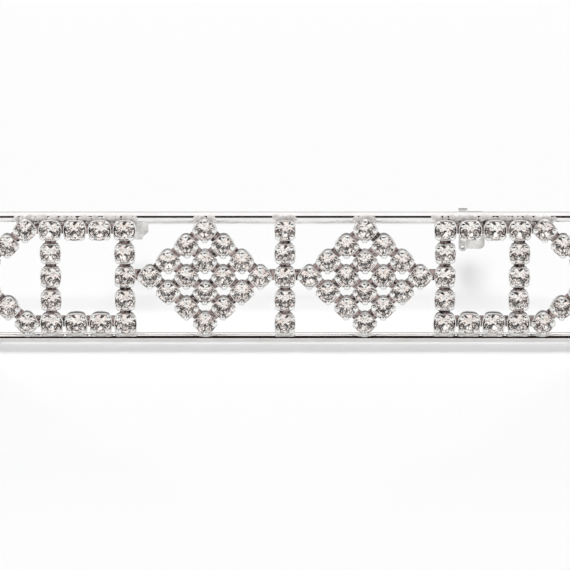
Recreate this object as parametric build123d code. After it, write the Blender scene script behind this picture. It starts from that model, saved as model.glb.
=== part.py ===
"""Openwork rhinestone bar barrette with a hinged pin clasp and a turning safety catch.

Millimetres. X runs along the bar, Z is up across it, and the stones face -Y.
The origin is on the shut clasp pin's axis, at the middle of the bar.
"""
from build123d import *
import math
import os

# ---- stones and cups ---------------------------------------------------------
STONE_D = 2.3  # chaton size SS8, across the girdle
PITCH = 2.9  # cup chain, stone to stone
GIRDLE_H = 0.06
CROWN_H = 0.46
TABLE_D = 1.26
PAVILION_H = 0.96
CUP_W = 2.52  # rounded-square cup, across its flats
CUP_CORNER_R = 0.75
CUP_BACK = 1.15  # girdle plane to the cup's flat back
CUP_RIM = 0.05  # girdle plane to the rim in front of it
CUP_EDGE = 0.08
PRONG_W = 0.52
PRONG_INSET = 0.06  # inside the cup's rounded corner
PRONG_SHOULDER = 0.15  # where the prong starts to lean over the crown
PRONG_TIP_R = 0.78
PRONG_TIP_L = 0.16
PRONG_TOP = 0.50
PRONG_TIP_DROP = 0.02
LINK_L = 1.15
LINK_W = 1.3
LINK_T = 0.3
TOUCHING = 1.01  # neighbouring stones are at most this many pitches apart

# ---- openwork frame ----------------------------------------------------------
WIRE_D = 1.24
RAIL_TO_ROW = 1.72  # rail axis to the nearest row, if the rows were centred
ROWS_UP = 0.4  # the rows sit this much nearer to the top rail
GIRDLE_AHEAD = 1.1  # girdle plane in front of the rails' axes
FOOT_W = 1.1  # solder foot from a bottom cup to the bottom rail
FOOT_T = 0.5
FOOT_BELOW = 0.63  # top of the foot below its cup's centre
TIP_TO_BOW = 1.5
BOW_ARM = 5.0
BOW_BEND = 3.0
STEM_ROWS = 5
LOZENGE_SIDE = 3  # in pitches
WINDOW_SPAN = 3  # in pitches, stem to stem
SLANTED = ("lozenge", "point")  # motifs whose cups stand on a corner, as their rows do

# ---- clasp -------------------------------------------------------------------
HAIR_GAP = 4.2  # backs of the rails to the pin's surface
PIN_D = 0.9
PIN_WIRE_X = (-16.9, 20.3)  # the full-size wire
PIN_TAPER_END_X = 23.7
PIN_TAPER_END_D = 0.8
PIN_TIP_L = 1.1
PIN_TIP_D = 0.5
PIN_TIP_EDGE_R = 0.17
RAIL_ABOVE_PIN = 2.25
EYE_D = 1.6
EYE_T = 0.56
NECK_W = 1.0
NECK_L = 1.1  # hinge axis to the start of the round wire
HINGE_GAP = 0.64  # between the two cheeks
CHEEK_T = 0.35
CHEEK_TOP_D = 1.7
CHEEK_FOOT_W = 2.6
RIVET_D = 0.6
RIVET_HEAD_D = 1.0
RIVET_HEAD_H = 0.16
RIVET_HEAD_BEVEL = 0.1
HINGE_CLEARANCE = 0.04
PLATE_T = 0.6
PLATE_DROP = 0.3  # top edges of the plates below the top rail's axis
HINGE_PLATE_W = 4.0
HINGE_PLATE_LOW_Z = -0.52
HINGE_PLATE_CORNER = 0.9
CATCH_X = (21.6, 23.3)
CATCH_PLATE_X = (21.1, 23.4)
CATCH_PLATE_LOW_Z = -1.7
CATCH_PLATE_CORNER = 0.6
HOUSING_D = 2.14
HOUSING_BORE_D = 1.66
HOUSING_SLOT_W = 1.1
COLLAR_D = 1.56
COLLAR_BORE_D = 1.04
COLLAR_SLOT_W = 1.04
COLLAR_END_GAP = 0.05
FLANGE_D = 2.9
FLANGE_W = 1.05
LIP_D = 2.0
LIP_W = 0.3
LEVER_L = 3.8  # pin axis to the lever's tip
LEVER_W = 0.96
LEVER_T = 0.5
LEVER_EYE_D = 0.4

# ---- places that follow from the dimensions -----------------------------------
RAIL_Y = -(PIN_D / 2 + HAIR_GAP + WIRE_D / 2)
GIRDLE_Y = RAIL_Y - GIRDLE_AHEAD
BACK_Y = GIRDLE_Y + CUP_BACK
HALF_RISE = (STEM_ROWS - 1) / 2 * PITCH
HALF_RUN = math.sqrt((LOZENGE_SIDE * PITCH) ** 2 - HALF_RISE**2)
TOP_RAIL_Z = RAIL_ABOVE_PIN
MID_Z = TOP_RAIL_Z - RAIL_TO_ROW + ROWS_UP - HALF_RISE
BOTTOM_RAIL_Z = TOP_RAIL_Z - 2 * (HALF_RISE + RAIL_TO_ROW)
PLATE_Y = (BACK_Y, BACK_Y + PLATE_T)
PLATE_MID_Y = BACK_Y + PLATE_T / 2
PLATE_TOP_Z = TOP_RAIL_Z - PLATE_DROP
LOZENGE_X = PITCH + HALF_RUN
WINDOW_X = LOZENGE_X + HALF_RUN + PITCH  # inner stem of the window
POINT_X = WINDOW_X + (WINDOW_SPAN + 1) * PITCH  # first stones of the pointed end
TIP_X = POINT_X + HALF_RUN
END_X = TIP_X + TIP_TO_BOW
RAIL_END_X = END_X - BOW_ARM
HINGE_X = PIN_WIRE_X[0] - NECK_L


# ---- where the stones sit ------------------------------------------------------
def stem(x):
    """Centres of one full-height column, from the bottom row up."""
    return [(x, (row - (STEM_ROWS - 1) / 2) * PITCH) for row in range(STEM_ROWS)]


def lozenge(x):
    """Centres of a filled lozenge."""
    steps = range(LOZENGE_SIDE + 1)
    run = HALF_RUN / LOZENGE_SIDE
    rise = HALF_RISE / LOZENGE_SIDE
    return [(x + (i - j) * run, (i + j - LOZENGE_SIDE) * rise) for i in steps for j in steps]


def window(x):
    """Centres of an open rectangle whose inner stem is at x."""
    sites = stem(x) + stem(x + WINDOW_SPAN * PITCH)
    for step in range(1, WINDOW_SPAN):
        sites += [(x + step * PITCH, -HALF_RISE), (x + step * PITCH, HALF_RISE)]
    return sites


def point(x):
    """Centres of the two arms that meet at the bar's end."""
    sites = [(x + HALF_RUN, 0)]
    for step in range(LOZENGE_SIDE):
        along = x + step * HALF_RUN / LOZENGE_SIDE
        up = HALF_RISE - step * HALF_RISE / LOZENGE_SIDE
        sites += [(along, up), (along, -up)]
    return sites


def mirrored(sites):
    """The same motif on the other side of the middle."""
    return [(-x, z) for x, z in sites]


MOTIFS = {
    "middle_stem": stem(0),
    "right_lozenge": lozenge(LOZENGE_X),
    "left_lozenge": mirrored(lozenge(LOZENGE_X)),
    "right_window": window(WINDOW_X),
    "left_window": mirrored(window(WINDOW_X)),
    "right_point": point(POINT_X),
    "left_point": mirrored(point(POINT_X)),
}


# ---- small helpers -------------------------------------------------------------
def revolved(points):
    """A solid turned about Z from an outline of (radius, height) points."""
    outline = Polyline(*[(r, 0, h) for r, h in points], close=True)
    return revolve(make_face(outline), Axis.Z)


def extruded(points, plane, thickness):
    """A flat outline on a plane, thickened equally to both sides."""
    return extrude(plane * make_face(Polyline(*points, close=True)), thickness / 2, both=True)


def block(x, y, z):
    """A box from three (low, high) ranges."""
    middle = [(low + high) / 2 for low, high in (x, y, z)]
    return Pos(*middle) * Box(x[1] - x[0], y[1] - y[0], z[1] - z[0])


def rod_x(diameter, x, y=0, z=0):
    """A round rod along X over a (low, high) range."""
    middle = (x[0] + x[1]) / 2
    return Pos(middle, y, z) * Rot(Y=90) * Cylinder(diameter / 2, x[1] - x[0])


# ---- stones, cups and links ------------------------------------------------------
def stone_shape():
    """A chaton on the Z axis with its girdle at the origin and its table up."""
    girdle = GIRDLE_H / 2
    points = [(0, -PAVILION_H), (STONE_D / 2, -girdle), (STONE_D / 2, girdle)]
    points += [(TABLE_D / 2, CROWN_H), (0, CROWN_H)]
    return revolved(points)


def cup_shape():
    """A rounded-square cup that fits the stone's pavilion, with a prong over the crown at each corner."""
    stone_r = STONE_D / 2
    girdle = GIRDLE_H / 2
    half_w = CUP_W / 2
    cup = Pos(0, 0, (CUP_RIM - CUP_BACK) / 2) * Box(CUP_W, CUP_W, CUP_BACK + CUP_RIM)
    cup = fillet(cup.edges().filter_by(Axis.Z), CUP_CORNER_R)
    cup = chamfer(cup.faces().sort_by(Axis.Z)[0].edges(), CUP_EDGE)
    cup -= revolved([(0, CUP_RIM), (stone_r, CUP_RIM), (stone_r, -girdle), (0, -PAVILION_H)])
    corner = (half_w - CUP_CORNER_R) * math.sqrt(2) + CUP_CORNER_R - PRONG_INSET
    slope = (CROWN_H - girdle) / (stone_r - TABLE_D / 2)
    tip_z = girdle + (stone_r - PRONG_TIP_R) * slope
    prong = [(stone_r, girdle), (corner, girdle), (corner, PRONG_SHOULDER)]
    prong += [(PRONG_TIP_R + PRONG_TIP_L, PRONG_TOP), (PRONG_TIP_R, PRONG_TOP - PRONG_TIP_DROP)]
    prong += [(PRONG_TIP_R, tip_z)]
    one = extruded(prong, Plane.XZ, PRONG_W)
    for turn in range(4):
        cup += Rot(Z=45 + 90 * turn) * one
    return cup


def at_site(shape, site):
    """Stand a shape made on the Z axis at a stone's place, facing the front."""
    return Pos(site[0], GIRDLE_Y, MID_Z + site[1]) * Rot(X=90) * shape


def solder_foot(site):
    """The bead that joins a bottom cup to the bottom rail, before the rail is cut from it."""
    x = (site[0] - FOOT_W / 2, site[0] + FOOT_W / 2)
    return block(x, (RAIL_Y - FOOT_T, RAIL_Y), (BOTTOM_RAIL_Z, MID_Z + site[1] - FOOT_BELOW))


def link_between(first, second):
    """The flat strip let into the backs of two neighbouring cups."""
    angle = math.degrees(math.atan2(second[1] - first[1], second[0] - first[0]))
    place = Pos((first[0] + second[0]) / 2, BACK_Y - LINK_T / 2, MID_Z + (first[1] + second[1]) / 2)
    return place * Rot(Y=-angle) * Box(LINK_L, LINK_T, LINK_W)


def neighbours():
    """Each pair of touching sites once, with the motif of its first site."""
    sites = [(motif, site) for motif, group in MOTIFS.items() for site in group]
    pairs = []
    for index, (motif, site) in enumerate(sites):
        for _, other in sites[index + 1 :]:
            if math.dist(site, other) < TOUCHING * PITCH:
                pairs.append((motif, site, other))
    return pairs


# ---- frame -------------------------------------------------------------------
def rail(z):
    """One straight rail."""
    return rod_x(WIRE_D, (-RAIL_END_X, RAIL_END_X), RAIL_Y, z)


def end_bow():
    """The right-hand end: one wire bent round from rail to rail."""
    top = (RAIL_END_X, RAIL_Y, TOP_RAIL_Z)
    top_corner = (END_X, RAIL_Y, TOP_RAIL_Z)
    bottom_corner = (END_X, RAIL_Y, BOTTOM_RAIL_Z)
    bottom = (RAIL_END_X, RAIL_Y, BOTTOM_RAIL_Z)
    path = FilletPolyline(top, top_corner, bottom_corner, bottom, radius=BOW_BEND)
    return sweep(Plane(origin=top, z_dir=(1, 0, 0)) * Circle(WIRE_D / 2), path)


# ---- clasp -------------------------------------------------------------------
def plate(x, low_z):
    """A plate on the cups' backs, let in under the top rail."""
    return block(x, PLATE_Y, (low_z, PLATE_TOP_Z)) - rail(TOP_RAIL_Z)


def hinge_bracket():
    """Plate with clipped corners, and two cheeks that hold the rivet."""
    half_w = HINGE_PLATE_W / 2
    bracket = plate((HINGE_X - half_w, HINGE_X + half_w), HINGE_PLATE_LOW_Z)
    low_edges = bracket.edges().filter_by(Axis.Y).group_by(Axis.Z)[0]
    bracket = chamfer(low_edges, HINGE_PLATE_CORNER)
    top_r = CHEEK_TOP_D / 2
    outline = [(-CHEEK_FOOT_W / 2, PLATE_MID_Y), (CHEEK_FOOT_W / 2, PLATE_MID_Y)]
    outline += [(top_r, 0), (-top_r, 0)]
    cheek = extruded(outline, Plane.XY, CHEEK_T) + Cylinder(top_r, CHEEK_T)
    cheek -= Cylinder(RIVET_D / 2, CHEEK_T)
    for side in (-1, 1):
        bracket += Pos(HINGE_X, 0, side * (HINGE_GAP + CHEEK_T) / 2) * cheek
    return bracket


def hinge_rivet():
    """Headed rivet through both cheeks."""
    half = HINGE_GAP / 2 + CHEEK_T
    rivet = Cylinder(RIVET_D / 2, 2 * half)
    for side in (-1, 1):
        rivet += Pos(0, 0, side * (half + RIVET_HEAD_H / 2)) * Cylinder(RIVET_HEAD_D / 2, RIVET_HEAD_H)
    rims = rivet.edges().filter_by(GeomType.CIRCLE).group_by(Axis.Z)
    return Pos(HINGE_X, 0, 0) * chamfer(rims[0] + rims[-1], RIVET_HEAD_BEVEL)


def clasp_pin():
    """Flattened eye and neck, round wire, and a taper to a blunt tip."""
    start, end = PIN_WIRE_X
    pin = Pos(HINGE_X, 0, 0) * Cylinder(EYE_D / 2, EYE_T)
    pin += block((HINGE_X, start), (-NECK_W / 2, NECK_W / 2), (-EYE_T / 2, EYE_T / 2))
    pin -= Pos(HINGE_X, 0, 0) * Cylinder(RIVET_D / 2 + HINGE_CLEARANCE, EYE_T)
    pin += rod_x(PIN_D, (start, end))
    taper_l = PIN_TAPER_END_X - end
    tip_h = taper_l + PIN_TIP_L
    nose_points = [(0, 0), (PIN_D / 2, 0), (PIN_TAPER_END_D / 2, taper_l)]
    nose_points += [(PIN_TIP_D / 2, tip_h), (0, tip_h)]
    nose = revolved(nose_points)
    nose = fillet(nose.edges().group_by(Axis.Z)[-1], PIN_TIP_EDGE_R)
    return pin + Pos(end, 0, 0) * Rot(Y=90) * nose


def catch_housing():
    """Narrow plate on the cup backs and a slotted barrel round the pin."""
    housing = plate(CATCH_PLATE_X, CATCH_PLATE_LOW_Z)
    low_right = housing.edges().filter_by(Axis.Y).group_by(Axis.Z)[0].sort_by(Axis.X)[-1]
    housing = fillet(low_right, CATCH_PLATE_CORNER)
    radius = HOUSING_D / 2
    housing += block(CATCH_X, (PLATE_MID_Y, 0), (-radius, radius))
    housing += rod_x(HOUSING_D, CATCH_X)
    housing -= rod_x(HOUSING_BORE_D, CATCH_X)
    return housing - block(CATCH_X, (0, HOUSING_D), (-HOUSING_SLOT_W / 2, HOUSING_SLOT_W / 2))


def catch_collar():
    """Slotted sleeve that turns in the barrel, with a lever on its outer flange."""
    flange_x = (CATCH_X[0] - COLLAR_END_GAP - FLANGE_W, CATCH_X[0] - COLLAR_END_GAP)
    lip_x = (CATCH_X[1] + COLLAR_END_GAP, CATCH_X[1] + COLLAR_END_GAP + LIP_W)
    whole_x = (flange_x[0], lip_x[1])
    collar = rod_x(COLLAR_D, whole_x) + rod_x(FLANGE_D, flange_x) + rod_x(LIP_D, lip_x)
    lever_x = sum(flange_x) / 2
    tip_z = LEVER_W / 2 - LEVER_L
    half = LEVER_W / 2
    lever = block((lever_x - half, lever_x + half), (-LEVER_T / 2, LEVER_T / 2), (tip_z, 0))
    lever += Pos(lever_x, 0, tip_z) * Rot(X=90) * Cylinder(half, LEVER_T)
    lever -= Pos(lever_x, 0, tip_z) * Rot(X=90) * Cylinder(LEVER_EYE_D / 2, LEVER_T)
    collar += lever
    collar -= rod_x(COLLAR_BORE_D, whole_x)
    return collar - block(whole_x, (0, FLANGE_D), (-COLLAR_SLOT_W / 2, COLLAR_SLOT_W / 2))


# ---- the assembly --------------------------------------------------------------
right_bow = end_bow()
nodes = {
    "top_rail": [rail(TOP_RAIL_Z)],
    "bottom_rail": [rail(BOTTOM_RAIL_Z)],
    "right_end_bow": [right_bow],
    "left_end_bow": [mirror(right_bow, Plane.YZ)],
    "hinge_bracket": [hinge_bracket()],
    "hinge_rivet": [hinge_rivet()],
    "clasp_pin": [clasp_pin()],
    "catch_housing": [catch_housing()],
    "catch_collar": [catch_collar()],
}
wires = [nodes[name][0] for name in ("top_rail", "bottom_rail", "right_end_bow", "left_end_bow")]

links = {motif: [] for motif in MOTIFS}
links_at = {}
for motif, first, second in neighbours():
    link = link_between(first, second)
    links[motif].append(link)
    links_at.setdefault(first, []).append(link)
    links_at.setdefault(second, []).append(link)

stone = stone_shape()
upright_cup = cup_shape()
turned_cup = Rot(Z=45) * upright_cup
for motif, sites in MOTIFS.items():
    pattern_cup = turned_cup if motif.endswith(SLANTED) else upright_cup
    cups = []
    for site in sites:
        cup = at_site(pattern_cup, site)
        for neighbour in links_at[site]:
            cup -= neighbour
        beside_rail = abs(site[1]) > HALF_RISE - PITCH / 2
        if site[1] < PITCH / 2 - HALF_RISE:
            cup += solder_foot(site) - at_site(stone, site)
        beside_bow = abs(site[0]) > TIP_X - PITCH / 2
        if beside_rail or beside_bow:
            for wire in wires:
                cup -= wire
        cups.append(cup)
    nodes[motif + "_cups"] = cups
    nodes[motif + "_stones"] = [at_site(stone, site) for site in sites]
    nodes[motif + "_links"] = links[motif]

os.makedirs("parts", exist_ok=True)
for name, shapes in nodes.items():
    solids = [solid for shape in shapes for solid in shape.solids()]
    export_step(Compound(solids), f"parts/{name}.step")
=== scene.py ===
"""Openwork rhinestone bar barrette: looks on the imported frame.

The scene is in metres, in the row frame. Shapes are made in millimetres and scaled by MM.
"""

import math
import random

import bmesh
import bpy
from mathutils import Matrix, Vector


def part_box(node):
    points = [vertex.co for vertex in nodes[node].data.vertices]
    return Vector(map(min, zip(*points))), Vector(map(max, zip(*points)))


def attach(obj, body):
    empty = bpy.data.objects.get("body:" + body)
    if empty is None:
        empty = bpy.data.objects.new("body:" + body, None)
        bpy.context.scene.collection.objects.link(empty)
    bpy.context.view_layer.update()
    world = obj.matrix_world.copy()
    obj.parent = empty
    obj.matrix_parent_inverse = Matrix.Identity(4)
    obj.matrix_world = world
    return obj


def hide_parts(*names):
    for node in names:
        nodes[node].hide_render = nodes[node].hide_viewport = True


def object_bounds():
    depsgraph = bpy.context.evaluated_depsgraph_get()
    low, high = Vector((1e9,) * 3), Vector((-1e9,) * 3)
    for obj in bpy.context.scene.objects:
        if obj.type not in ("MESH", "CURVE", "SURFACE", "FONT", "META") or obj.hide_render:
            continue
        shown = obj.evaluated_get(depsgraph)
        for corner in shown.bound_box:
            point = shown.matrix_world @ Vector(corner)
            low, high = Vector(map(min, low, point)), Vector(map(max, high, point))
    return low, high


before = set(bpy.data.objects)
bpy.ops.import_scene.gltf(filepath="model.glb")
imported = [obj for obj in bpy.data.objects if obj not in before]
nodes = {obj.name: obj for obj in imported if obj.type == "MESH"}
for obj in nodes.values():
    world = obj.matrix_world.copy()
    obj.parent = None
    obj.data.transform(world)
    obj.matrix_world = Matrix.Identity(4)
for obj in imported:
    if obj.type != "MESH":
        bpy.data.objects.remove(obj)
cad_low, cad_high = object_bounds()
MM = 0.001

MOTIFS = ("middle_stem", "right_lozenge", "left_lozenge", "right_window", "left_window",
          "right_point", "left_point")
SLANTED = ("lozenge", "point")  # motifs whose cups stand on a corner
BOWS = ("left_end_bow", "right_end_bow")
WIRE_NODES = ("top_rail", "bottom_rail") + BOWS
CATCH_NODES = ("catch_housing", "catch_collar")
PLATE_NODES = ("hinge_bracket", "hinge_rivet") + CATCH_NODES

# ---- stones, in millimetres, on a stone's own axis with the girdle at 0 ----------------------
STONE_R = 1.15
GIRDLE_H = 0.03
TABLE_R = 0.63
CROWN_H = 0.46
CROWN_MID_R = 0.86
PAVILION_H = 0.96
PAVILION_MID_R = 0.36
STONE_SUNK = 0.04  # deeper than in CAD
GLASS, FOIL = 0, 1  # their places in the materials of the stones' piece

# ---- cups and prongs, on the same axis -------------------------------------------------------
CUP_R = 1.26
CUP_BACK = 1.15
CUP_CORNER = 3.1  # exponent of the cup's rounded-square outline, where 2 is round
CUP_SIDES = 40
# From the back to the bottom of the seat: radius, height and the outline's exponent.
CUP_PROFILE = ((CUP_R - 0.20, -CUP_BACK, 2.4), (CUP_R - 0.10, -CUP_BACK + 0.02, 2.5),
               (CUP_R - 0.04, -CUP_BACK + 0.09, 2.7), (CUP_R - 0.02, -0.75, CUP_CORNER),
               (CUP_R, -0.30, CUP_CORNER), (CUP_R, -0.02, CUP_CORNER),
               (CUP_R - 0.015, 0.03, 2.8), (CUP_R - 0.05, 0.05, 2.6),
               (STONE_R + 0.03, 0.02, 2.1), (STONE_R + 0.015, -0.08, 2.0), (0.30, -0.90, 2.0))
ROW_STRETCH = 1.08  # cups side by side in a level row are squeezed out towards each other
# Along a prong: radius and height of its middle, half its width and half its thickness.
PRONG_PATH = ((1.33, -0.60, 0.20, 0.06), (1.36, -0.30, 0.22, 0.07), (1.39, -0.02, 0.26, 0.08),
              (1.37, 0.14, 0.30, 0.10), (1.28, 0.27, 0.32, 0.13), (1.13, 0.33, 0.315, 0.14),
              (0.98, 0.33, 0.28, 0.13), (0.87, 0.30, 0.20, 0.09), (0.82, 0.27, 0.08, 0.03))
PRONG_SIDES = 12
PRONG_SQUARENESS = 0.8  # exponent of the strip's section, where 1 is an ellipse

# ---- solder, in millimetres ------------------------------------------------------------------
SOLDER = 1  # its place in the materials of the cups' piece
LUMP_RINGS = 7
LUMP_SIDES = 14
TOP_LUMPS = range(-2, 3)  # five over each cup, counted from its middle
TOP_LUMPS_APART = 0.5
WINDOW_LUMPS_APART = 0.64  # they close up to the next cup's lumps
TOP_LUMP_FORWARD = 0.72  # in front of the rail's axis, in rail radii
TOP_LUMP_HALVES = ((0.38, 0.55), (0.26, 0.34), (0.34, 0.42))  # ranges of half its size along X, Y and Z
FOOT_FORWARD = 0.30  # in front of the rail's axis
FOOT_UP = 1.05  # above the bottom rail's axis, in rail radii
FOOT_HALF_LENGTH = (0.7, 0.95)
FOOT_HALF_DEPTH = 0.40
FOOT_HALF_HEIGHT = 0.36

# ---- reading the CAD mesh --------------------------------------------------------------------
WELD = 1e-7  # metres
SAME_ROW = 0.1  # millimetres between the heights of two cups in a level row

# ---- how far hand-made pieces stray: degrees, millimetres and shares -------------------------
SEED = 100
CUP_LEAN = 1.2
CUP_TURN = 3.0
STONE_TIP = 4.0
PRONG_STRAY = 0.05
PRONG_WIDTHS = (0.88, 1.08)
LUMP_SWELL = 0.05
TOP_LUMP_ASIDE = 0.12
TOP_LUMP_RISE = (-0.08, 0.10)
FOOT_ASIDE = 0.15

# ---- metal, glass and foil -------------------------------------------------------------------
PATCH_EDGE = (0.35, 0.62)  # noise values of the darkest and lightest patches of plating
MARKS_FINER = 9  # polishing marks are this much finer than the patches
MARKS_EDGE = (0.3, 0.7)  # noise values of the glossiest and dullest marks
FACING_EDGE = (0.3, 0.9)  # part of the normal along Y where a facing's tone starts and is full
MOTTLE_EDGE = (0.40, 0.60)  # noise values of that tone's darkest and lightest patches
GLASS_IOR = 1.58
FOIL_ROUGH = 0.04

# ---- surroundings ----------------------------------------------------------------------------
# Metal and glass reflect the first five, by the direction of the ray.
WALLS = (1.03, 1.015, 1.005)
OVERHEAD = (1.12, 1.11, 1.11)
SIDE_GAP = (0.24, 0.165, 0.15)  # a dim strip at each side
CAMERA_GAP = (0.030, 0.019, 0.016)  # dark room round the camera
BACK_GAP = (0.20, 0.19, 0.185)  # a dim patch behind the bar
DOME_STRENGTH = 0.15  # what diffuse surfaces get from all round
BACKDROP = (0.975, 0.975, 0.975)  # what the camera sees past the floor

# ---- floor and black card --------------------------------------------------------------------
FLOOR_REACH = 4.0  # metres
FLOOR_DROP = 0.00002  # metres below the lowest point
SHEET_ROUGH = 0.9
PAPER = (0.93, 0.93, 0.932)
CARD_BLACK = (0.010, 0.007, 0.006)
CARD_AHEAD = 30.0  # millimetres in front of the rails
CARD_X = (-24.0, 60.0)
CARD_ELEVATIONS = (36.0, 56.0)  # degrees of its edges, seen from the bottom rail

# ---- lamps and camera: degrees and metres ----------------------------------------------------
LAMP_DISTANCE = 2.0
CAMERA_ELEVATION = 20.0
CAMERA_DISTANCE = 0.55
CAMERA_CLIP = (0.01, 20)
SENSOR_WIDTH = 36.0  # millimetres
VIEW_WIDTH = 0.067
AIM_BELOW_MIDDLE = 0.94  # millimetres


# ---- node helpers ----------------------------------------------------------------------------
def new_material(name):
    material = bpy.data.materials.new(name)
    material.use_nodes = True
    tree = material.node_tree
    return material, tree, tree.nodes["Principled BSDF"]


def math_node(tree, operation, *values):
    """An operation on numbers and sockets."""
    node = tree.nodes.new("ShaderNodeMath")
    node.operation = operation
    for index, value in enumerate(values):
        if isinstance(value, (int, float)):
            node.inputs[index].default_value = value
        else:
            tree.links.new(value, node.inputs[index])
    return node.outputs[0]


def map_range(tree, value, low, high, to_low=0.0, to_high=1.0):
    """Carry a value over from one range to another, with soft ends."""
    node = tree.nodes.new("ShaderNodeMapRange")
    node.interpolation_type = "SMOOTHSTEP"
    for key, number in (("From Min", low), ("From Max", high), ("To Min", to_low), ("To Max", to_high)):
        node.inputs[key].default_value = number
    tree.links.new(value, node.inputs["Value"])
    return node.outputs["Result"]


def noise(tree, scale, detail=3.0, stretch=(1, 1, 1)):
    """Noise in the piece's own coordinates, so the scale is per metre."""
    coords = tree.nodes.new("ShaderNodeTexCoord")
    mapping = tree.nodes.new("ShaderNodeMapping")
    mapping.inputs["Scale"].default_value = stretch
    tree.links.new(coords.outputs["Object"], mapping.inputs["Vector"])
    node = tree.nodes.new("ShaderNodeTexNoise")
    node.inputs["Scale"].default_value = scale
    node.inputs["Detail"].default_value = detail
    tree.links.new(mapping.outputs["Vector"], node.inputs["Vector"])
    return node.outputs["Fac"]


def two_tones(tree, value, edge, dark, light):
    """A colour that goes from dark to light as the value crosses the edge."""
    ramp = tree.nodes.new("ShaderNodeValToRGB")
    for element, position, tone in zip(ramp.color_ramp.elements, edge, (dark, light)):
        element.position = position
        element.color = (*tone, 1)
    tree.links.new(value, ramp.inputs["Fac"])
    return ramp.outputs["Color"]


# ---- materials -------------------------------------------------------------------------------
def plated_metal(name, light, dark, rough, rough_more, patches, stretch, bump, bump_depth):
    """Bright plating: slow colour and gloss variation, fine polishing marks in the bump."""
    material, tree, shader = new_material(name)
    colour = two_tones(tree, noise(tree, patches, 4.0), PATCH_EDGE, dark, light)
    tree.links.new(colour, shader.inputs["Base Color"])
    shader.inputs["Metallic"].default_value = 1.0
    fine = noise(tree, patches * MARKS_FINER, 3.0, stretch)
    gloss = map_range(tree, fine, *MARKS_EDGE, rough, rough + rough_more)
    tree.links.new(gloss, shader.inputs["Roughness"])
    marks = tree.nodes.new("ShaderNodeBump")
    marks.inputs["Strength"].default_value = bump
    marks.inputs["Distance"].default_value = bump_depth
    tree.links.new(fine, marks.inputs["Height"])
    tree.links.new(marks.outputs["Normal"], shader.inputs["Normal"])
    return material


wire_metal = plated_metal("polished_wire", light=(0.89, 0.88, 0.875), dark=(0.84, 0.83, 0.82),
                          rough=0.05, rough_more=0.05, patches=450, stretch=(0.06, 1, 1),
                          bump=0.035, bump_depth=0.00002)
cup_metal = plated_metal("pressed_cup_metal", light=(0.90, 0.895, 0.885), dark=(0.80, 0.79, 0.78),
                         rough=0.07, rough_more=0.09, patches=900, stretch=(1, 1, 1),
                         bump=0.16, bump_depth=0.00002)
link_metal = plated_metal("chain_link_metal", light=(0.84, 0.835, 0.825), dark=(0.74, 0.73, 0.72),
                          rough=0.16, rough_more=0.12, patches=900, stretch=(1, 1, 1),
                          bump=0.16, bump_depth=0.00002)
clasp_metal = plated_metal("clasp_metal", light=(0.80, 0.79, 0.775), dark=(0.50, 0.485, 0.47),
                           rough=0.16, rough_more=0.16, patches=1100, stretch=(0.6, 1, 1),
                           bump=0.55, bump_depth=0.00006)
pin_metal = plated_metal("drawn_pin_metal", light=(0.82, 0.81, 0.80), dark=(0.70, 0.69, 0.68),
                         rough=0.10, rough_more=0.10, patches=500, stretch=(0.08, 1, 1),
                         bump=0.10, bump_depth=0.00002)
solder_metal = plated_metal("solder_metal", light=(0.96, 0.95, 0.935), dark=(0.78, 0.75, 0.73),
                            rough=0.42, rough_more=0.20, patches=1800, stretch=(1, 1, 1),
                            bump=0.70, bump_depth=0.00008)


def tone_by_facing(material, facing, tone, spread, patches, metallic=1.0):
    """Give a material's backs (facing = 1, along the frame's Y) or fronts (-1) a tone of their own."""
    tree = material.node_tree
    shader = tree.nodes["Principled BSDF"]
    plain_colour = shader.inputs["Base Color"].links[0].from_socket
    surface = tree.nodes.new("ShaderNodeTexCoord")
    parts = tree.nodes.new("ShaderNodeSeparateXYZ")
    tree.links.new(surface.outputs["Normal"], parts.inputs[0])
    turned = math_node(tree, "MULTIPLY", parts.outputs["Y"], facing)
    dark, light = [[channel * (1 + side * spread) for channel in tone] for side in (-1, 1)]
    mix = tree.nodes.new("ShaderNodeMix")
    mix.data_type = "RGBA"
    tree.links.new(map_range(tree, turned, *FACING_EDGE), mix.inputs["Factor"])
    tree.links.new(plain_colour, mix.inputs["A"])
    tree.links.new(two_tones(tree, noise(tree, patches, 4.0), MOTTLE_EDGE, dark, light), mix.inputs["B"])
    tree.links.new(mix.outputs["Result"], shader.inputs["Base Color"])
    if metallic < 1:
        tree.links.new(map_range(tree, turned, *FACING_EDGE, 1.0, metallic), shader.inputs["Metallic"])


# Painted shade: the links' fronts, deep between the cups, get a dark, mottled, less metallic tone that
# stands in for the shade in those crevices. Links and cups are unpolished at the back.
tone_by_facing(link_metal, -1, (0.26, 0.20, 0.19), spread=0.92, patches=3200, metallic=0.5)
tone_by_facing(link_metal, 1, (0.40, 0.39, 0.38), spread=0.2, patches=1500)
tone_by_facing(cup_metal, 1, (0.52, 0.51, 0.50), spread=0.2, patches=1500)


def crystal_material():
    """Clear glass for the crown."""
    material, tree, shader = new_material("crystal_crown")
    colour = two_tones(tree, noise(tree, 800, 1.0), (0.35, 0.65),
                       dark=(0.99, 0.975, 0.965), light=(1.0, 1.0, 1.0))
    tree.links.new(colour, shader.inputs["Base Color"])
    shader.inputs["Roughness"].default_value = 0.0
    shader.inputs["IOR"].default_value = GLASS_IOR
    shader.inputs["Transmission Weight"].default_value = 1.0
    return material


def foil_material():
    """Silver foil on the pavilion, seen through the glass."""
    material, tree, shader = new_material("crystal_foil")
    colour = two_tones(tree, noise(tree, 1400, 2.0), (0.38, 0.56),
                       dark=(0.92, 0.87, 0.84), light=(0.99, 0.975, 0.96))
    tree.links.new(colour, shader.inputs["Base Color"])
    shader.inputs["Metallic"].default_value = 1.0
    shader.inputs["Roughness"].default_value = FOIL_ROUGH
    return material


crystal = crystal_material()
foil = foil_material()


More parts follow.
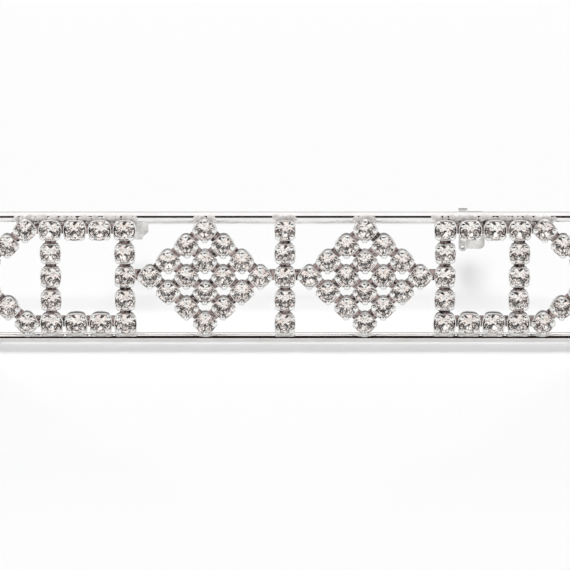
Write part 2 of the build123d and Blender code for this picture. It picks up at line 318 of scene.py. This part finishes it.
# ---- meshes ----------------------------------------------------------------------------------
class Builder:
    """Collects the vertices and faces of one piece in millimetres."""

    def __init__(self):
        self.verts = []
        self.faces = []
        self.kinds = []

    def add(self, place, verts, faces, kinds=None, kind=0):
        """Add a shape at a place. Its kinds, or its one kind, say which material each face has."""
        start = len(self.verts)
        self.verts += [place @ Vector(v) for v in verts]
        self.faces += [[start + i for i in face] for face in faces]
        self.kinds += kinds if kinds else [kind] * len(faces)

    def make(self, name, materials, smooth):
        mesh = bpy.data.meshes.new(name)
        mesh.from_pydata([v * MM for v in self.verts], [], self.faces)
        for material in materials:
            mesh.materials.append(material)
        for polygon, kind in zip(mesh.polygons, self.kinds):
            polygon.material_index = kind
            polygon.use_smooth = smooth
        mesh.validate()
        piece = bpy.data.objects.new(name, mesh)
        bpy.context.scene.collection.objects.link(piece)
        outward = bmesh.new()
        outward.from_mesh(mesh)
        bmesh.ops.recalc_face_normals(outward, faces=outward.faces)
        outward.to_mesh(mesh)
        outward.free()
        return piece


def ring_point(radius, turn, height):
    return (radius * math.cos(turn), radius * math.sin(turn), height)


def tube_faces(rings, sides):
    """Quads between neighbouring rings, and a flat face at each end."""
    faces = []
    for ring in range(rings - 1):
        here, above = ring * sides, (ring + 1) * sides
        for k in range(sides):
            after = (k + 1) % sides
            faces.append([here + k, here + after, above + after, above + k])
    faces.append(list(range(sides)))
    faces.append([(rings - 1) * sides + k for k in range(sides)])
    return faces


def brilliant():
    """Faceted stone: table, stars, kites and girdle facets over a foiled pavilion."""
    step = math.pi / 8
    slope = (CROWN_H - GIRDLE_H) / (STONE_R - TABLE_R)
    mid_h = CROWN_H - slope * (CROWN_MID_R * math.cos(step) - TABLE_R)
    deep = (PAVILION_H - GIRDLE_H) / STONE_R
    low_h = -PAVILION_H + deep * PAVILION_MID_R * math.cos(step)
    table = [ring_point(TABLE_R, 2 * k * step, CROWN_H) for k in range(8)]
    mid = [ring_point(CROWN_MID_R, (2 * k + 1) * step, mid_h) for k in range(8)]
    upper = [ring_point(STONE_R, k * step, GIRDLE_H) for k in range(16)]
    lower = [ring_point(STONE_R, k * step, -GIRDLE_H) for k in range(16)]
    low = [ring_point(PAVILION_MID_R, (2 * k + 1) * step, low_h) for k in range(8)]
    verts = table + mid + upper + lower + low + [(0, 0, -PAVILION_H)]
    # The first vertex of each ring.
    at_table, at_mid, at_upper, at_lower, at_low, culet = 0, 8, 16, 32, 48, 56
    crown = [[at_table + k for k in range(8)]]
    pavilion = []
    for k in range(8):
        after, before = (k + 1) % 8, (k - 1) % 8
        here, half, nearly = 2 * k, 2 * k + 1, (2 * k + 2) % 16
        crown.append([at_table + k, at_mid + k, at_table + after])
        crown.append([at_table + k, at_mid + before, at_upper + here, at_mid + k])
        crown.append([at_mid + k, at_upper + here, at_upper + half])
        crown.append([at_mid + k, at_upper + half, at_upper + nearly])
        crown.append([at_upper + here, at_lower + here, at_lower + half, at_upper + half])
        crown.append([at_upper + half, at_lower + half, at_lower + nearly, at_upper + nearly])
        pavilion.append([culet, at_low + before, at_lower + here, at_low + k])
        pavilion.append([at_low + k, at_lower + here, at_lower + half])
        pavilion.append([at_low + k, at_lower + half, at_lower + nearly])
    return verts, crown + pavilion, [GLASS] * len(crown) + [FOIL] * len(pavilion)


def rounded_square(radius, turn, exponent):
    side = abs(math.cos(turn)) ** exponent + abs(math.sin(turn)) ** exponent
    return radius * side ** (-1 / exponent)


def pressed_cup():
    """Thin shell with a rounded-square outside and a round seat for the stone."""
    verts = []
    for radius, height, exponent in CUP_PROFILE:
        for k in range(CUP_SIDES):
            turn = 2 * math.pi * k / CUP_SIDES
            verts.append(ring_point(rounded_square(radius, turn, exponent), turn, height))
    return verts, tube_faces(len(CUP_PROFILE), CUP_SIDES)


def squared(wave):
    """A sine or cosine bent so that an ellipse becomes a rounded rectangle."""
    return abs(wave) ** PRONG_SQUARENESS * math.copysign(1, wave)


def prong(rng):
    """One claw: a flat strip up the cup's corner that ends in a bead over the crown."""
    reach = rng.uniform(-PRONG_STRAY, PRONG_STRAY)
    wide = rng.uniform(*PRONG_WIDTHS)
    skew = rng.uniform(-PRONG_STRAY, PRONG_STRAY)
    verts = []
    last = len(PRONG_PATH) - 1
    for index, (radius, height, half_w, half_t) in enumerate(PRONG_PATH):
        before = PRONG_PATH[max(index - 1, 0)]
        after = PRONG_PATH[min(index + 1, last)]
        along = Vector((after[0] - before[0], 0, after[1] - before[1])).normalized()
        out = Vector((along.z, 0, -along.x))
        share = index / last
        middle = Vector((radius + reach * share, skew * share, height))
        for k in range(PRONG_SIDES):
            turn = 2 * math.pi * k / PRONG_SIDES
            across = Vector((0, half_w * wide * squared(math.cos(turn)), 0))
            verts.append(middle + across + out * half_t * squared(math.sin(turn)))
    return verts, tube_faces(len(PRONG_PATH), PRONG_SIDES)


def lump(rng, halves):
    """A lump of solder: a low sphere pushed about a little, from half its size along X, Y and Z."""
    verts = []
    for ring in range(1, LUMP_RINGS):
        polar = math.pi * ring / LUMP_RINGS
        for k in range(LUMP_SIDES):
            turn = 2 * math.pi * k / LUMP_SIDES
            swell = 1 + rng.uniform(-LUMP_SWELL, LUMP_SWELL)
            verts.append((halves[0] * math.sin(polar) * math.cos(turn) * swell,
                          halves[1] * math.sin(polar) * math.sin(turn) * swell,
                          halves[2] * math.cos(polar)))
    top, bottom = len(verts), len(verts) + 1
    verts += [(0, 0, halves[2]), (0, 0, -halves[2])]
    last = (LUMP_RINGS - 2) * LUMP_SIDES
    faces = []
    for k in range(LUMP_SIDES):
        after = (k + 1) % LUMP_SIDES
        faces.append([top, after, k])
        faces.append([bottom, last + k, last + after])
        for ring in range(LUMP_RINGS - 2):
            here, below = ring * LUMP_SIDES, (ring + 1) * LUMP_SIDES
            faces.append([here + k, here + after, below + after, below + k])
    return verts, faces


def sites_of(node_name):
    """Centres (x, z) of the stones in a CAD node, and the height in Y of their girdles."""
    source = bmesh.new()
    source.from_mesh(nodes[node_name].data)
    bmesh.ops.remove_doubles(source, verts=source.verts, dist=WELD)
    seen = set()
    found = []
    for start in source.verts:
        if start in seen:
            continue
        island = [start]
        seen.add(start)
        for vert in island:
            for edge in vert.link_edges:
                other = edge.other_vert(vert)
                if other not in seen:
                    seen.add(other)
                    island.append(other)
        xs = [v.co.x / MM for v in island]
        zs = [v.co.z / MM for v in island]
        found.append(((min(xs) + max(xs)) / 2, (min(zs) + max(zs)) / 2))
    front = min(v.co.y for v in source.verts) / MM
    source.free()
    return sorted(found), front + CROWN_H


# ---- stones, settings and solder -------------------------------------------------------------
# Stones face -Y: a shape's own height runs along -Y of the row frame.
FACE_FRONT = Matrix(((1, 0, 0, 0), (0, 0, -1, 0), (0, 1, 0, 0), (0, 0, 0, 1)))
SUNK = Matrix.Translation((0, 0, -STONE_SUNK))
STRETCHED = Matrix.Diagonal((ROW_STRETCH, 1, 1, 1))

top_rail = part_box("top_rail")
bottom_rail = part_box("bottom_rail")
rail_y = (top_rail[0].y + top_rail[1].y) / 2 / MM
rail_r = (top_rail[1].z - top_rail[0].z) / 2 / MM
top_z = (top_rail[0].z + top_rail[1].z) / 2 / MM
bottom_z = (bottom_rail[0].z + bottom_rail[1].z) / 2 / MM


def strayed(rng, angle, stray, axis="Z"):
    """A turn by an angle in degrees, give or take."""
    return Matrix.Rotation(math.radians(angle + rng.uniform(-stray, stray)), 4, axis)


def solder_to_top_rail(cups, x, apart, rng):
    """A ragged line of lumps along the rail, over one cup."""
    for place_in_line in TOP_LUMPS:
        aside = rng.uniform(-TOP_LUMP_ASIDE, TOP_LUMP_ASIDE)
        rise = rng.uniform(*TOP_LUMP_RISE)
        place = Matrix.Translation((x + place_in_line * apart + aside,
                                    rail_y - rail_r * TOP_LUMP_FORWARD, top_z + rise))
        halves = [rng.uniform(*span) for span in TOP_LUMP_HALVES]
        cups.add(place, *lump(rng, halves), kind=SOLDER)


def solder_to_bottom_rail(cups, x, rng):
    """One flat lump between a cup and the rail below it."""
    place = Matrix.Translation((x + rng.uniform(-FOOT_ASIDE, FOOT_ASIDE), rail_y - FOOT_FORWARD,
                                bottom_z + rail_r * FOOT_UP))
    halves = (rng.uniform(*FOOT_HALF_LENGTH), FOOT_HALF_DEPTH, FOOT_HALF_HEIGHT)
    cups.add(place, *lump(rng, halves), kind=SOLDER)


stone_verts, stone_faces, stone_kinds = brilliant()
cup_verts, cup_faces = pressed_cup()

for motif_index, motif in enumerate(MOTIFS):
    sites, girdle_y = sites_of(motif + "_stones")
    rng = random.Random(SEED + motif_index)
    stones = Builder()
    cups = Builder()
    highest = max(z for _, z in sites)
    lowest = min(z for _, z in sites)
    square = 45 if motif.endswith(SLANTED) else 0
    window = motif.endswith("window")
    for x, z in sites:
        lean = strayed(rng, 0, CUP_LEAN, "X") @ strayed(rng, 0, CUP_LEAN, "Y")
        seat = Matrix.Translation((x, girdle_y, z)) @ FACE_FRONT @ lean
        tip = strayed(rng, 0, STONE_TIP, "X") @ strayed(rng, 0, STONE_TIP, "Y")
        spin = Matrix.Rotation(rng.uniform(0, math.pi / 4), 4, "Z")
        stones.add(seat @ tip @ spin @ SUNK, stone_verts, stone_faces, stone_kinds)
        at_top = z > highest - SAME_ROW
        at_bottom = z < lowest + SAME_ROW
        square_up = strayed(rng, square, CUP_TURN)
        if window and (at_top or at_bottom):
            square_up = STRETCHED @ square_up
        cups.add(seat @ square_up, cup_verts, cup_faces)
        for corner in range(4):
            turned = strayed(rng, 45 + 90 * corner, CUP_TURN)
            cups.add(seat @ square_up @ turned, *prong(rng))
        if at_top:
            solder_to_top_rail(cups, x, WINDOW_LUMPS_APART if window else TOP_LUMPS_APART, rng)
        if at_bottom:
            solder_to_bottom_rail(cups, x, rng)
    stone_piece = stones.make(motif + "_crystals", [crystal, foil], False)
    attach(stone_piece, "frame")
    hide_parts(motif + "_stones")
    cup_piece = cups.make(motif + "_settings", [cup_metal, solder_metal], True)
    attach(cup_piece, "frame")
    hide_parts(motif + "_cups")


# ---- CAD nodes that keep their shape ---------------------------------------------------------
def carry_over(name, material):
    mesh = nodes[name].data
    mesh.materials.clear()
    mesh.materials.append(material)


for name in WIRE_NODES:
    carry_over(name, wire_metal)
for name in PLATE_NODES:
    carry_over(name, clasp_metal)
carry_over("clasp_pin", pin_metal)
for motif in MOTIFS:
    carry_over(motif + "_links", link_metal)


# ---- floor and black card --------------------------------------------------------------------
def stage_sheet(name, corners, colour, specular):
    """A flat matt sheet that isn't part of the object."""
    mesh = bpy.data.meshes.new(name)
    mesh.from_pydata(corners, [], [(0, 1, 2, 3)])
    sheet = bpy.data.objects.new(name, mesh)
    bpy.context.scene.collection.objects.link(sheet)
    material, _, shader = new_material(name + "_matt")
    shader.inputs["Base Color"].default_value = (*colour, 1)
    shader.inputs["Roughness"].default_value = SHEET_ROUGH
    shader.inputs["Specular IOR Level"].default_value = specular
    mesh.materials.append(material)
    return sheet


floor_z = cad_low.z - FLOOR_DROP
stage_sheet("studio_floor", [(x * FLOOR_REACH, y * FLOOR_REACH, floor_z)
                             for x, y in ((-1, -1), (1, -1), (1, 1), (-1, 1))], PAPER, specular=0.1)

# Only mirrors see the card: it broadens the dark line that the bottom rail reflects.
card_y = (rail_y - CARD_AHEAD) * MM
card_left, card_right = [x * MM for x in CARD_X]
card_low, card_top = [(bottom_z + CARD_AHEAD * math.tan(math.radians(up))) * MM for up in CARD_ELEVATIONS]
card = stage_sheet("black_card", [(card_left, card_y, card_low), (card_right, card_y, card_low),
                                  (card_right, card_y, card_top), (card_left, card_y, card_top)],
                   CARD_BLACK, specular=0.0)
card.visible_camera = False
card.visible_diffuse = False
card.visible_transmission = False
card.visible_shadow = False

# ---- world: what each kind of ray meets ------------------------------------------------------
world = bpy.data.worlds.new("studio")
bpy.context.scene.world = world
world.use_nodes = True
sky = world.node_tree
background = sky.nodes["Background"]
output = sky.nodes["World Output"]
coords = sky.nodes.new("ShaderNodeTexCoord")
split = sky.nodes.new("ShaderNodeSeparateXYZ")
sky.links.new(coords.outputs["Generated"], split.inputs[0])
dir_x, dir_y, dir_z = split.outputs
side = math_node(sky, "ABSOLUTE", dir_x)


def rising(value, start, end):
    """A mask that is 0 before a soft edge and 1 past it."""
    return map_range(sky, value, start, end)


def falling(value, start, end):
    """A mask that is 1 before a soft edge and 0 past it."""
    return map_range(sky, value, start, end, 1, 0)


def times(*masks):
    result = masks[0]
    for mask in masks[1:]:
        result = math_node(sky, "MULTIPLY", result, mask)
    return result


def shade(base, mask, colour):
    """Lay a colour over another where the mask is 1."""
    node = sky.nodes.new("ShaderNodeMix")
    node.data_type = "RGBA"
    sky.links.new(mask, node.inputs["Factor"])
    if isinstance(base, tuple):
        node.inputs["A"].default_value = (*base, 1)
    else:
        sky.links.new(base, node.inputs["A"])
    node.inputs["B"].default_value = (*colour, 1)
    return node.outputs["Result"]


def plain_background(colour, strength):
    node = sky.nodes.new("ShaderNodeBackground")
    node.inputs["Color"].default_value = (*colour, 1)
    node.inputs["Strength"].default_value = strength
    return node.outputs[0]


def choose(factor, first, second):
    node = sky.nodes.new("ShaderNodeMixShader")
    sky.links.new(factor, node.inputs["Fac"])
    sky.links.new(first, node.inputs[1])
    sky.links.new(second, node.inputs[2])
    return node.outputs[0]


# Where each surface of the room is, as masks over the direction of a ray.
in_front = falling(dir_y, -0.15, 0.05)
in_back = rising(dir_y, 0.10, 0.25)
overhead = times(falling(side, 0.45, 0.65), rising(dir_z, 0.05, 0.2))
side_gap = times(rising(side, 0.62, 0.68), falling(side, 0.76, 0.82),
                 rising(dir_z, -0.05, 0.05), falling(dir_z, 0.55, 0.65))
camera_gap = times(rising(dir_z, -0.04, 0.02), falling(dir_z, 0.64, 0.74),
                   falling(side, 0.20, 0.32), in_front)
back_gap = times(rising(dir_z, -0.04, 0.02), falling(dir_z, 0.40, 0.60),
                 falling(side, 0.45, 0.60), in_back)
mirrored = WALLS
for mask, colour in ((overhead, OVERHEAD), (side_gap, SIDE_GAP),
                     (camera_gap, CAMERA_GAP), (back_gap, BACK_GAP)):
    mirrored = shade(mirrored, mask, colour)
sky.links.new(mirrored, background.inputs["Color"])
background.inputs["Strength"].default_value = 1.0

path = sky.nodes.new("ShaderNodeLightPath")
dome = plain_background((1.0, 1.0, 1.0), DOME_STRENGTH)
backdrop = plain_background(BACKDROP, 1.0)
lit = choose(path.outputs["Is Diffuse Ray"], background.outputs[0], dome)
seen = choose(path.outputs["Is Camera Ray"], lit, backdrop)
sky.links.new(seen, output.inputs["Surface"])

# ---- lamps -----------------------------------------------------------------------------------
middle = Vector((0, rail_y * MM, (top_z + bottom_z) / 2 * MM))


def area_light(name, azimuth, elevation, size, energy, blocked_by):
    """A softbox aimed at the bar, its size in metres. Only the named CAD nodes block its light."""
    lamp = bpy.data.lights.new(name, "AREA")
    lamp.shape = "RECTANGLE"
    lamp.size, lamp.size_y = size
    lamp.energy = energy
    holder = bpy.data.objects.new(name, lamp)
    bpy.context.scene.collection.objects.link(holder)
    turn, rise = math.radians(azimuth), math.radians(elevation)
    back = Vector((math.sin(turn) * math.cos(rise), -math.cos(turn) * math.cos(rise), math.sin(rise)))
    holder.location = middle + back * LAMP_DISTANCE
    holder.rotation_mode = "QUATERNION"
    holder.rotation_quaternion = (-back).to_track_quat("-Z", "Y")
    holder.visible_glossy = False
    holder.visible_transmission = False
    blockers = bpy.data.collections.new(name + "_blockers")
    for node in blocked_by:
        blockers.objects.link(nodes[node])
    holder.light_linking.blocker_collection = blockers


area_light("key_softbox", azimuth=0, elevation=50, size=(0.75, 0.35), energy=11.5,
           blocked_by=("top_rail", "clasp_pin") + BOWS + PLATE_NODES)
area_light("clasp_softbox", azimuth=-1, elevation=33, size=(0.24, 0.24), energy=19,
           blocked_by=("hinge_bracket",) + CATCH_NODES)
area_light("low_softbox", azimuth=180, elevation=20.4, size=(2.2, 0.26), energy=54,
           blocked_by=("bottom_rail",) + BOWS)

# ---- camera ----------------------------------------------------------------------------------
lens = bpy.data.cameras.new("camera")
lens.sensor_width = SENSOR_WIDTH
lens.lens = SENSOR_WIDTH * CAMERA_DISTANCE / VIEW_WIDTH
lens.clip_start, lens.clip_end = CAMERA_CLIP
camera = bpy.data.objects.new("camera", lens)
bpy.context.scene.collection.objects.link(camera)
aim = middle - Vector((0, 0, AIM_BELOW_MIDDLE * MM))
tilt = math.radians(CAMERA_ELEVATION)
away = Vector((0, -math.cos(tilt), math.sin(tilt)))
camera.location = aim + away * CAMERA_DISTANCE
camera.rotation_mode = "QUATERNION"
camera.rotation_quaternion = (-away).to_track_quat("-Z", "Y")
bpy.context.scene.camera = camera
bpy.context.scene.view_settings.view_transform = "Standard"
